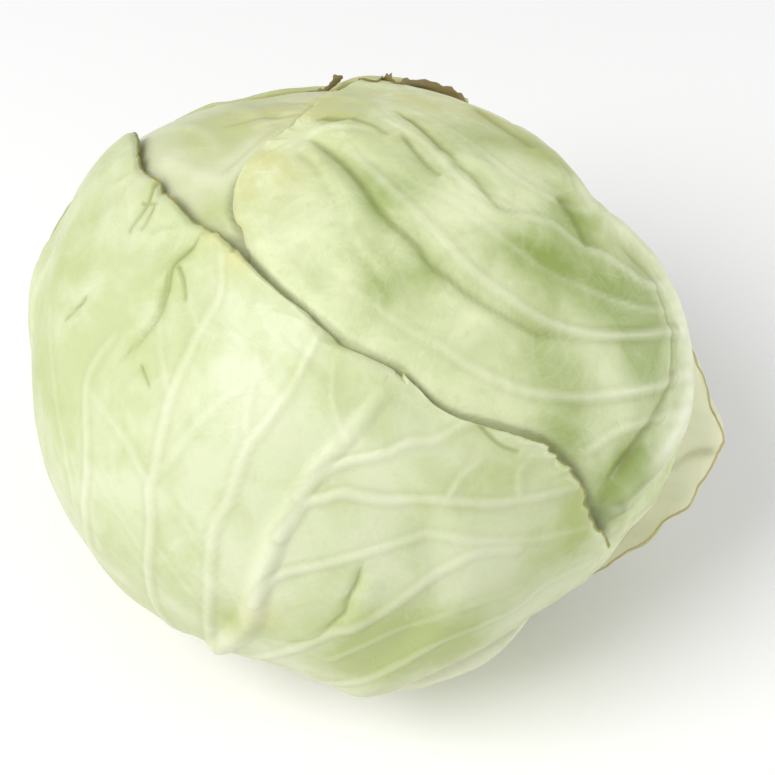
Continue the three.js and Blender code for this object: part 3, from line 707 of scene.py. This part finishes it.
def surface_mesh(name, points, faces, masks, uv=None):
    """A smooth-shaded mesh with one float attribute per mask and, if given, a UV map."""
    mesh = bpy.data.meshes.new(name)
    mesh.vertices.add(len(points))
    mesh.vertices.foreach_set("co", (points * MM).astype(np.float32).ravel())
    sizes = np.concatenate([np.full(len(group), group.shape[1]) for group in faces])
    corners = np.concatenate([group.ravel() for group in faces]).astype(np.int32)
    mesh.loops.add(len(corners))
    mesh.loops.foreach_set("vertex_index", corners)
    mesh.polygons.add(len(sizes))
    starts = np.concatenate([[0], np.cumsum(sizes)[:-1]])
    mesh.polygons.foreach_set("loop_start", starts.astype(np.int32))
    mesh.update(calc_edges=True)
    mesh.validate()
    mesh.polygons.foreach_set("use_smooth", np.ones(len(sizes), bool))
    for key, values in masks.items():
        layer = mesh.attributes.new(key, "FLOAT", "POINT")
        layer.data.foreach_set("value", np.asarray(values, np.float32).ravel())
    if uv is not None:
        layer = mesh.uv_layers.new(name="leaf_map")
        layer.data.foreach_set("uv", uv[corners].astype(np.float32).ravel())
    mesh.set_sharp_from_angle(angle=CREASE_ANGLE * DEG)
    return new_object(name, mesh)


def grid_faces(rows, columns, first=0):
    """Quads of a grid, seen anticlockwise from outside when rows run up and columns to the right."""
    corner = first + np.arange(rows - 1)[:, None] * columns + np.arange(columns - 1)
    quads = np.stack([corner, corner + 1, corner + columns + 1, corner + columns], -1)
    return quads.reshape(-1, 4)


def blade_faces(rows, columns):
    """Outer grid, an inner grid of every second point turned over, and the rim that closes them."""
    outer = grid_faces(rows, columns)
    half_rows, half_columns = (rows + 1) // 2, (columns + 1) // 2
    inner = grid_faces(half_rows, half_columns, rows * columns)[:, ::-1]
    far, near = border(rows, columns), border(half_rows, half_columns) + rows * columns
    start, middle, end = far[:-1:2], far[1::2], far[2::2]
    wall = np.concatenate([
        np.stack([middle, start, near[:-1]], -1),
        np.stack([middle, near[:-1], near[1:]], -1),
        np.stack([middle, near[1:], end], -1),
    ])
    return [np.concatenate([outer, inner]), wall]


def border(rows, columns):
    """The closed loop of a grid's border points."""
    index = np.arange(rows * columns).reshape(rows, columns)
    return np.concatenate([index[0, :], index[1:, -1], index[-1, -2::-1], index[-2::-1, 0]])


def ragged(leaf, u, v):
    """The margin drawn in by noise along it, so that its edge is nicked and uneven."""
    around = np.stack([v * MARGIN_NICKS, np.sign(u) * 2 + 0 * v], -1)
    noise = 0.6 + 0.5 * wander(around, 1.0, 31) + 0.35 * wander(around * 2.3, 1.0, 32)
    inward = leaf["rag"] * noise * smooth(0.15, 0.35, v) * (1 - 0.7 * smooth(0.93, 1, v))
    t = np.abs(u)
    across_tip = 1 + wander(np.stack([u * 5, 0 * v], -1), 1.0, 34)
    ends = 1 - 0.4 * leaf["rag"] * across_tip * smooth(0.85, 1, v)
    ends = ends - CORNER * smooth(0.7, 1, t) * smooth(0.93, 1, v)
    return u * (1 - inward * smooth(0.72, 1, t)), v * ends


def build_leaf(level, material):
    """A blade: radius over chart direction, as layer, lift, thickness and ribs, on both of its sides."""
    leaf = LEAVES[level]
    rows, columns = leaf["grid"]
    steps = 1 - (1 - np.linspace(0, 1, rows)) ** leaf["crowd"]
    v, u = np.meshgrid(steps, np.linspace(-1, 1, columns), indexing="ij")
    along, across = leaf_chart(leaf, *ragged(leaf, u, v))
    direction = chart_direction(leaf["longitude"], along, across)
    below, relief, floor, nearest = layer_radii(level, direction)
    t = np.abs(u)
    crease, line, crease_valley_shade, _ = ridge(leaf["creases"], along, across, 0.4, True)
    rib, _, _, _ = ridge(leaf["ribs"], along, across)
    vein, core, _, vein_shade = ridge(leaf["veins"], along, across, 0.2)
    fold, _, _, _ = ridge(leaf["folds"], along, across, 0.3, True)
    lift = margin_lift(leaf, u, v) + fold + REST_LIFT + swell(direction, LEAF_SWELLS, level)
    lift = lift + pucker(leaf["puckers"], along, across, PUCKER_SEED + level)
    lift = np.maximum(relief * (lift - crease), LEAST_LIFT) + STEP_UP * step_beside(nearest)
    blade = EDGE_BLADE + (BLADE - EDGE_BLADE) * smooth(1, 0.94, t) * smooth(1, 0.97, v)
    outer_radius = np.minimum(below + lift + blade + relief * np.maximum(rib, vein), floor)
    inner_radius = np.minimum(below + lift, floor - blade)
    outer = HEAD_CENTRE + direction * outer_radius[..., None]
    inner = HEAD_CENTRE + direction * inner_radius[..., None]
    masks = {
        "vein": core * relief,
        "rib": np.clip(rib / 3, 0, 1),
        "vein_shade": vein_shade * (1 - core) * relief,
        "edge": np.maximum(smooth(0.972, 1, t), smooth(0.985, 1, v)),
        "nook": nook(nearest),
        # The crease mask paints shade into the colour along each crease.
        "crease": line ** 1.5 * relief,
        # This mask holds real green patches and painted shade: deeper green in the crease valleys.
        "patch": spots(leaf["patches"], along, across) + 0.3 * crease_valley_shade * relief,
        "stain": spots(leaf["stains"], along, across),
        "base": smooth(60, 16, along),
        "inner_side": np.zeros(u.shape),
    }
    both = {
        key: np.concatenate([value.ravel(), value[::2, ::2].ravel()])
        for key, value in masks.items()
    }
    both["inner_side"][u.size:] = 1
    uv = np.stack([across, along], -1) / MAP_DEGREES
    uv = np.concatenate([uv.reshape(-1, 2), uv[::2, ::2].reshape(-1, 2)])
    verts = np.concatenate([outer.reshape(-1, 3), inner[::2, ::2].reshape(-1, 3)])
    piece = surface_mesh("skin_" + leaf["name"], verts, blade_faces(*u.shape), both, uv)
    claim(piece, material, leaf["name"])


def claim(piece, material, node):
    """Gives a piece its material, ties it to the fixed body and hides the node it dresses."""
    piece.data.materials.append(material)
    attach(piece, "root")
    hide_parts(node)


def ball_faces(rows, columns):
    """Quads between the rings of a ball, and a fan at each pole."""
    ring = np.arange(rows)[:, None] * columns
    here = np.arange(columns)
    after = (here + 1) % columns
    quads = np.stack([
        ring[:-1] + here, ring[:-1] + after, ring[1:] + after, ring[1:] + here,
    ], -1).reshape(-1, 4)
    first, last = rows * columns, rows * columns + 1
    low = np.stack([np.full(columns, first), after, here], -1)
    high = np.stack([np.full(columns, last), ring[-1] + here, ring[-1] + after], -1)
    return [quads, low, high]


def build_inner_head(material):
    """The head's radius over polar angle from the stem and angle around it."""
    rows, columns = HEAD_GRID
    polar = np.linspace(0, 180, rows + 2)[1:-1]
    p, around = np.meshgrid(polar * DEG, np.arange(columns) * 2 * np.pi / columns, indexing="ij")
    direction = around_stem(np.cos(p), np.sin(p), around).reshape(-1, 3)
    direction = np.concatenate([direction, [STEMWARD, -STEMWARD]])
    _, relief, floor, nearest = layer_radii(-1, direction)
    near_crown, near_back, near_front = (
        outside_leaf(LEAVES.index(leaf), direction) for leaf in (CROWN_LEAF, BACK_LEAF, FRONT_LEAF)
    )
    along, across = direction_chart(FRONT_LEAF["longitude"], direction)
    ridges, core, _, _ = ridge(HEAD_RIDGES, along, across, 0.3)
    crease, line, _, _ = ridge(HEAD_CREASES, along, across, 0.3, True)
    lift = ridges + swell(direction, HEAD_SWELLS)
    lift = lift + pucker(HEAD_PUCKERS, along, across, HEAD_PUCKER_SEED) - crease
    beside_crown = HEAD_STEP_CROWN * step_beside(near_crown) * smooth(1, 3, near_front)
    beside_back = HEAD_STEP_BACK * step_beside(near_back, (12, 2), (0.3, 1.5))
    step = np.maximum(beside_crown, beside_back * relief)
    radius = np.minimum(head_radius(direction) + relief * lift + step, floor)
    verts = HEAD_CENTRE + direction * radius[:, None]
    masks = leaf_masks(
        len(verts),
        vein=HEAD_MARK * core * relief,
        nook=nook(nearest),
        # The crease line and the nook paint shade into the head's colour.
        crease=HEAD_MARK * line ** 1.5 * relief,
        patch=spots(HEAD_PATCHES, along, across),
        stain=spots(HEAD_STAINS, along, across),
    )
    uv = np.stack([across, along], -1) / MAP_DEGREES
    piece = surface_mesh("skin_inner_head", verts, ball_faces(rows, columns), masks, uv)
    claim(piece, material, "inner_head")


def build_scraps(material):
    """Curled dry ribbons: a flat oval section swept along a curve, bent across and closed to a point."""
    sweep, columns = SCRAP_GRID
    full_turn = np.arange(columns) * 2 * np.pi / columns
    s, turn = np.meshgrid(np.linspace(0, 1, sweep), full_turn, indexing="ij")
    verts, faces, first = [], [], 0
    for number, (width, curl, lean, path) in enumerate(DRY_SCRAPS):
        path = row_at(np.asarray(path, float), np.linspace(0, 1, sweep))
        direction = chart_direction(BACK_LEAF["longitude"], path[:, 0], path[:, 1])
        centre = HEAD_CENTRE + direction * path[:, 2:]
        along = np.gradient(centre, axis=0)
        along /= np.linalg.norm(along, axis=1, keepdims=True)
        level_side = np.cross(along, direction)
        level_side /= np.linalg.norm(level_side, axis=1, keepdims=True)
        rising = np.cross(level_side, along)
        flat = np.cos(lean * DEG) * level_side + np.sin(lean * DEG) * rising
        lift = np.cross(flat, along)
        ends = np.sqrt(np.clip(1 - (2 * s - 1) ** 6, 1e-4, 1))
        side = np.sign(np.cos(turn)) + number
        noise = wander(np.stack([s * 9, side], -1), 1.0, 61)
        noise = noise + 0.6 * wander(np.stack([s * 24, side], -1), 1.0, 63)
        half = width * ends * (0.9 + 0.35 * noise)
        x = half * np.cos(turn)
        y = SCRAP_HALF_THICK * ends * np.sin(turn) + curl * (x / width) ** 2
        y = y + 0.3 * wander(np.stack([s * 12, x], -1), 1.0, 62)
        ring = centre[:, None] + x[..., None] * flat[:, None] + y[..., None] * lift[:, None]
        verts.append(np.concatenate([ring.reshape(-1, 3), [ring[0].mean(0), ring[-1].mean(0)]]))
        faces.extend(group + first for group in ball_faces(sweep, columns))
        first += sweep * columns + 2
    verts = np.concatenate(verts)
    masks = leaf_masks(len(verts), edge=np.ones(len(verts)))
    piece = surface_mesh("dry_margin_scraps", verts, faces, masks, verts[:, :2] / SCRAP_MAP)
    claim(piece, material, "leaf_back")


def build_stem(material):
    """A profile turned round the stem's axis, with a rough cut face and ribbed side."""
    profile = np.array([
        (STEM_POLE, STEM_INNER), (STEM_RADIUS - 0.5, STEM_INNER),
        (STEM_RADIUS - 0.1, STEM_INNER + 0.8), (STEM_RADIUS - 0.4, STEM_OUTER - 3),
        (STEM_RADIUS - 1.6, STEM_OUTER - 1), (STEM_RADIUS * 0.5, STEM_OUTER - 2 * STEM_DOME),
        (STEM_POLE, STEM_OUTER - STEM_DOME),
    ])
    rows, columns = STEM_GRID
    share = np.linspace(0, 1, rows)
    steps = np.concatenate([[0], np.cumsum(np.linalg.norm(np.diff(profile, axis=0), axis=1))])
    steps /= steps[-1]
    radius = np.interp(share, steps, profile[:, 0])[:, None]
    height = np.interp(share, steps, profile[:, 1])[:, None]
    around = (np.arange(columns) * 2 * np.pi / columns)[None, :]
    side = smooth(0.5, 1, radius / STEM_RADIUS)
    radius = radius * (1 - 0.012 * side * (1 + np.sin(around * STEM_FLUTES + 1)))
    height = height - 0.15 * (1 + np.sin(radius * 2.2)) * (height > STEM_OUTER - 1.2)
    ring = np.append((radius + 0 * around) / STEM_RADIUS, [0, 0])
    verts = (HEAD_CENTRE + around_stem(height + 0 * around, radius, around)).reshape(-1, 3)
    ends = HEAD_CENTRE + np.outer([STEM_INNER, STEM_OUTER - STEM_DOME], STEMWARD)
    verts = np.concatenate([verts, ends])
    faces = [group[:, ::-1] for group in ball_faces(rows, columns)]
    piece = surface_mesh("cut_stem", verts, faces, {"ring": ring})
    claim(piece, material, "stem_stub")


# Materials.


def tone(red, green, blue):
    """A colour given as display values from 0 to 255, for a shader socket."""
    value = np.array([red, green, blue]) / 255
    linear = np.where(value <= 0.04045, value / 12.92, ((value + 0.055) / 1.055) ** 2.4)
    return (*linear.tolist(), 1.0)


VEIN_SHADE_TONE = tone(160, 166, 116)
STAIN_TONE = tone(210, 205, 134)
SHADE_TONE = tone(118, 122, 54)
BASE_TONE = tone(216, 206, 164)
PALE_VEIN = tone(228, 230, 206)
INNER = tone(216, 220, 196)
FINE_VEIN_SCALE = 26


class Nodes:
    """Short calls for building a material's node tree."""

    def __init__(self, tree):
        self.tree = tree

    def add(self, kind, inputs=None, **settings):
        node = self.tree.nodes.new(kind)
        for key, value in settings.items():
            setattr(node, key, value)
        self.fill(node, inputs or {})
        return node

    def fill(self, node, inputs):
        """Links or sets each of the inputs given."""
        for key, value in inputs.items():
            if hasattr(value, "is_output"):
                self.tree.links.new(value, node.inputs[key])
            else:
                node.inputs[key].default_value = value

    def group(self, name, inputs):
        return self.add("ShaderNodeGroup", inputs, node_tree=bpy.data.node_groups[name]).outputs

    def attribute(self, name):
        return self.add("ShaderNodeAttribute", attribute_name=name).outputs["Fac"]

    def noise(self, vector, scale, detail=3.0, rough=0.55, distortion=0.0, output="Fac"):
        return self.add("ShaderNodeTexNoise", {
            "Vector": vector, "Scale": scale, "Detail": detail, "Roughness": rough,
            "Distortion": distortion,
        }).outputs[output]

    def math(self, operation, a, b, clamp=False):
        node = self.add("ShaderNodeMath", {0: a, 1: b}, operation=operation, use_clamp=clamp)
        return node.outputs[0]

    def plus(self, a, b):
        return self.math("ADD", a, b)

    def minus(self, a, b):
        return self.math("SUBTRACT", a, b)

    def times(self, a, b, clamp=False):
        return self.math("MULTIPLY", a, b, clamp)

    def ramp(self, value, low, high):
        """A smooth step from 0 at low to 1 at high."""
        inputs = {"Value": value, "From Min": low, "From Max": high}
        node = self.add("ShaderNodeMapRange", inputs, interpolation_type="SMOOTHSTEP")
        return node.outputs["Result"]

    def mix(self, share, a, b):
        return self.add("ShaderNodeMix", {0: share, 6: a, 7: b}, data_type="RGBA").outputs[2]

    def bump(self, height, strength):
        inputs = {"Strength": strength, "Distance": 0.6 * MM, "Height": height}
        return self.add("ShaderNodeBump", inputs).outputs["Normal"]


def new_group(name, inputs, outputs):
    """An empty shader group with the sockets asked for, as (nodes, what it is given, its output node)."""
    tree = bpy.data.node_groups.new(name, "ShaderNodeTree")
    for way, sockets in (("INPUT", inputs), ("OUTPUT", outputs)):
        for socket, kind in sockets.items():
            tree.interface.new_socket(socket, in_out=way, socket_type="NodeSocket" + kind)
    n = Nodes(tree)
    return n, n.add("NodeGroupInput").outputs, n.add("NodeGroupOutput")


def network_group():
    """Fine leaf veins: thin lines between warped cells in the leaf's own map, at two sizes."""
    n, given, result = new_group("fine_veins", {"Scale": "Float"}, {"Lines": "Float"})
    flat = n.add("ShaderNodeUVMap", uv_map="leaf_map").outputs["UV"]
    warp = {0: n.noise(flat, 22, 3, 0.5, output="Color"), 1: (0.03, 0.03, 0.0), 2: flat}
    shifted = n.add("ShaderNodeVectorMath", warp, operation="MULTIPLY_ADD").outputs[0]
    lines = []
    for factor, width in ((1.0, 0.2), (2.4, 0.3)):
        cells = n.add(
            "ShaderNodeTexVoronoi", {"Vector": shifted, "Scale": n.times(given["Scale"], factor)},
            feature="DISTANCE_TO_EDGE", voronoi_dimensions="2D")
        lines.append(n.ramp(cells.outputs["Distance"], width, 0.0))
    fade = n.ramp(n.noise(flat, 9, 2), 0.38, 0.62)
    both = n.math("MAXIMUM", lines[0], n.times(lines[1], 0.45))
    n.fill(result, {"Lines": n.times(both, fade)})


def skin_group():
    """A leaf's colour, bump height and roughness from its masks, soft blotches and fine veins."""
    colours = dict.fromkeys(("Pale", "Green", "Dry", "Vein", "Inner"), "Color")
    n, given, result = new_group(
        "leaf_skin", {**colours, "Mottle": "Float"},
        {"Color": "Color", "Height": "Float", "Roughness": "Float"})
    place = n.add("ShaderNodeTexCoord").outputs["Object"]
    broad = n.noise(place, 20, 3, 0.5)
    middle = n.noise(place, 75, 4, 0.6, 0.4)
    fine = n.noise(place, 330, 4, 0.6)
    grain = n.noise(place, 1500, 3, 0.6)
    lines = n.group("fine_veins", {"Scale": FINE_VEIN_SCALE})["Lines"]
    # Green shows in the blotches and patches, and as painted shade in crease valleys, less along the fine
    # veins.
    blotch = n.ramp(n.plus(n.times(broad, 0.6), n.times(middle, 0.4)), 0.4, 0.62)
    share = n.plus(n.times(blotch, given["Mottle"]), n.attribute("patch"))
    share = n.times(share, n.minus(1.0, n.times(lines, 0.12)), clamp=True)
    colour = n.mix(share, given["Pale"], given["Green"])
    colour = n.mix(n.times(n.ramp(fine, 0.52, 0.78), 0.16), colour, given["Green"])
    # Ribs and veins are pale, with faint painted shade beside the veins.
    clear = n.minus(0.65, n.times(n.attribute("patch"), 0.5))
    colour = n.mix(n.times(n.attribute("rib"), clear, clamp=True), colour, given["Vein"])
    colour = n.mix(n.times(n.attribute("vein_shade"), 0.22), colour, VEIN_SHADE_TONE)
    colour = n.mix(n.times(n.attribute("vein"), 0.4, clamp=True), colour, given["Vein"])
    # Yellowed stains, painted shade along creases and in nooks, the inner side, the base and the worn
    # edge.
    stain = n.times(n.attribute("stain"), n.ramp(middle, 0.3, 0.6))
    colour = n.mix(n.times(stain, 0.6), colour, STAIN_TONE)
    shade = n.math("MAXIMUM", n.times(n.attribute("crease"), 0.6), n.times(n.attribute("nook"), 0.3))
    colour = n.mix(shade, colour, SHADE_TONE)
    colour = n.mix(n.times(n.attribute("inner_side"), 0.75), colour, given["Inner"])
    base = n.times(n.attribute("base"), n.ramp(middle, 0.3, 0.65))
    colour = n.mix(n.times(base, 0.5), colour, BASE_TONE)
    # The worn edge is real wear, and on the front leaf it is partly painted shade.
    worn_edge_and_shade = n.ramp(n.plus(n.attribute("edge"), n.times(fine, 0.9)), 0.8, 1.35)
    height = n.plus(n.times(middle, 0.9), n.times(fine, 0.35))
    height = n.plus(n.plus(height, n.times(lines, 0.22)), n.times(grain, 0.05))
    rough = n.plus(n.plus(0.34, n.times(fine, 0.2)), n.times(n.attribute("edge"), 0.2))
    colour = n.mix(worn_edge_and_shade, colour, given["Dry"])
    n.fill(result, {"Color": colour, "Height": height, "Roughness": rough})


def new_material(name):
    """A new material, as (material, nodes, its shader)."""
    material = bpy.data.materials.new(name)
    material.use_nodes = True
    return material, Nodes(material.node_tree), material.node_tree.nodes["Principled BSDF"]


def leaf_material(name, pale, green, dry, mottle, vein=PALE_VEIN, inner=INNER, glow=0.0):
    """Waxy skin over flesh that scatters light; glow is how much passes through a thin blade."""
    material, n, shader = new_material(name)
    skin = n.group("leaf_skin", {
        "Pale": pale, "Green": green, "Dry": dry, "Vein": vein, "Inner": inner, "Mottle": mottle,
    })
    n.fill(shader, {
        "Base Color": skin["Color"], "Roughness": skin["Roughness"], "Subsurface Weight": 0.15,
        "Subsurface Radius": (0.9, 1.0, 0.4), "Subsurface Scale": 3 * MM,
        "Specular IOR Level": 0.4, "Normal": n.bump(skin["Height"], 0.4),
    })
    if glow:
        through = n.add("ShaderNodeBsdfTranslucent", {"Color": skin["Color"]})
        blend = n.add("ShaderNodeMixShader", {
            "Fac": glow, 1: shader.outputs["BSDF"], 2: through.outputs["BSDF"],
        })
        output = material.node_tree.nodes["Material Output"]
        n.fill(output, {"Surface": blend.outputs["Shader"]})
    return material


def stem_material(name):
    """Cut flesh: pale pith, a darker woody ring and a dried rim, over mottling and fine fibres."""
    material, n, shader = new_material(name)
    place = n.add("ShaderNodeTexCoord").outputs["Object"]
    mottle = n.noise(place, 160, 4, 0.6, 0.6)
    fibre = n.noise(place, 900, 4, 0.65)
    ring = n.plus(n.attribute("ring"), n.times(n.minus(mottle, 0.5), 0.25))
    woody = n.times(n.ramp(ring, 0.5, 0.66), n.ramp(ring, 0.88, 0.74))
    colour = n.mix(n.ramp(mottle, 0.35, 0.7), tone(236, 230, 204), tone(222, 214, 176))
    colour = n.mix(n.times(woody, 0.7), colour, tone(196, 184, 134))
    colour = n.mix(n.times(n.ramp(fibre, 0.5, 0.75), 0.3), colour, tone(186, 172, 120))
    colour = n.mix(n.ramp(ring, 0.92, 1.02), colour, tone(182, 174, 124))
    n.fill(shader, {
        "Base Color": colour, "Roughness": n.plus(0.45, n.times(fibre, 0.35)),
        "Normal": n.bump(n.plus(mottle, n.times(fibre, 0.5)), 0.5),
    })
    return material


def plain_material(name, colour, roughness):
    material, n, shader = new_material(name)
    n.fill(shader, {"Base Color": colour, "Roughness": roughness})
    return material


network_group()
skin_group()
LEAF_MATERIALS = {
    # The front leaf's dark olive Dry tone makes its worn edge partly painted shade, a dark line along its
    # margin.
    "leaf_front": leaf_material(
        "waxy_front_leaf", tone(212, 219, 182), tone(178, 190, 122), tone(146, 144, 76), 0.6),
    "leaf_crown": leaf_material(
        "waxy_crown_leaf", tone(226, 233, 190), tone(144, 163, 82), tone(204, 206, 150), 0.38),
    # The under leaf's near-white tones are partly its pale inner side and partly painted light,
    # brightening it where the head shades it.
    "leaf_under": leaf_material(
        "waxy_under_leaf", tone(246, 247, 232), tone(236, 238, 212), tone(216, 206, 166), 0.5,
        inner=tone(252, 251, 243), glow=0.65),
    "leaf_back": leaf_material(
        "waxy_back_leaf", tone(186, 191, 140), tone(158, 168, 106), tone(170, 166, 112), 0.5),
}
SCRAPS = leaf_material(
    "dried_margin", tone(150, 134, 90), tone(120, 104, 66), tone(122, 106, 68), 0.8,
    inner=tone(150, 134, 90))
HEART = leaf_material(
    "inner_head_leaf", tone(218, 222, 188), tone(190, 198, 142), tone(192, 183, 118), 0.45)
STEM = stem_material("cut_stem_flesh")
FLOOR = plain_material("pale_table", tone(250, 250, 250), 0.6)

build_inner_head(HEART)
build_stem(STEM)
build_scraps(SCRAPS)
for level, leaf in enumerate(LEAVES):
    build_leaf(level, LEAF_MATERIALS[leaf["name"]])


# Floor, light and camera. Places of the lights are in metres.
FLOOR_HALF = 6.0
WORLD_STRENGTH = 0.58
LIT_POINT = (0, 0, 0.08)
CAMERA_ELEVATION = 50
CAMERA_DISTANCE = 560.0
CAMERA_LENS, SENSOR = 85.0, 36.0
IMAGE_SIZE = 775
HEAD_PIXEL = (359.0, 379.0)

corners = [(x * FLOOR_HALF, y * FLOOR_HALF, 0) for x, y in ((-1, -1), (1, -1), (1, 1), (-1, 1))]
floor_mesh = bpy.data.meshes.new("floor")
floor_mesh.from_pydata(corners, [], [(0, 1, 2, 3)])
floor_mesh.materials.append(FLOOR)
floor = new_object("floor", floor_mesh)

world = bpy.data.worlds.new("soft_studio")
world.use_nodes = True
background = world.node_tree.nodes["Background"]
Nodes(world.node_tree).fill(background, {"Color": (1.0, 1.0, 1.0, 1), "Strength": WORLD_STRENGTH})
bpy.context.scene.world = world


def aim(location, target):
    """A rotation whose -Z looks from location to target with +Y up."""
    back = unit(np.asarray(location) - np.asarray(target))
    side = unit(np.cross(UPWARD, back))
    return Matrix(np.stack([side, np.cross(back, side), back], 1).tolist()).to_4x4()


def soft_light(name, location, power, size):
    """A round area light aimed at the head: power in watts, size in metres."""
    light = bpy.data.lights.new(name, "AREA")
    light.shape = "DISK"
    light.size = size
    light.energy = power
    new_object(name, light).matrix_world = Matrix.Translation(location) @ aim(location, LIT_POINT)


soft_light("key_left", (-0.6, -0.45, 1.0), 10, 0.7)
soft_light("rim_right", (1.0, 0.2, 0.15), 4.0, 0.5)

# The camera looks down at CAMERA_ELEVATION and stands so that the head's centre
# falls on HEAD_PIXEL of a square picture IMAGE_SIZE wide.
camera_data = bpy.data.cameras.new("camera")
camera_data.lens = CAMERA_LENS
camera_data.sensor_width = SENSOR
camera_data.clip_start = 0.01
camera_data.clip_end = 50
camera = new_object("camera", camera_data)
elevation = CAMERA_ELEVATION * DEG
right = np.array([1.0, 0.0, 0.0])
upright = np.array([0.0, np.sin(elevation), np.cos(elevation)])
backward = np.array([0.0, -np.cos(elevation), np.sin(elevation)])
pixel = CAMERA_DISTANCE * SENSOR / (CAMERA_LENS * IMAGE_SIZE)
stand = (
    HEAD_CENTRE
    + backward * CAMERA_DISTANCE
    - right * (HEAD_PIXEL[0] - IMAGE_SIZE / 2) * pixel
    + upright * (HEAD_PIXEL[1] - IMAGE_SIZE / 2) * pixel
)
turn = Matrix(np.stack([right, upright, backward], 1).tolist()).to_4x4()
camera.matrix_world = Matrix.Translation((stand * MM).tolist()) @ turn
bpy.context.scene.camera = camera
bpy.context.scene.view_settings.view_transform = "Standard"
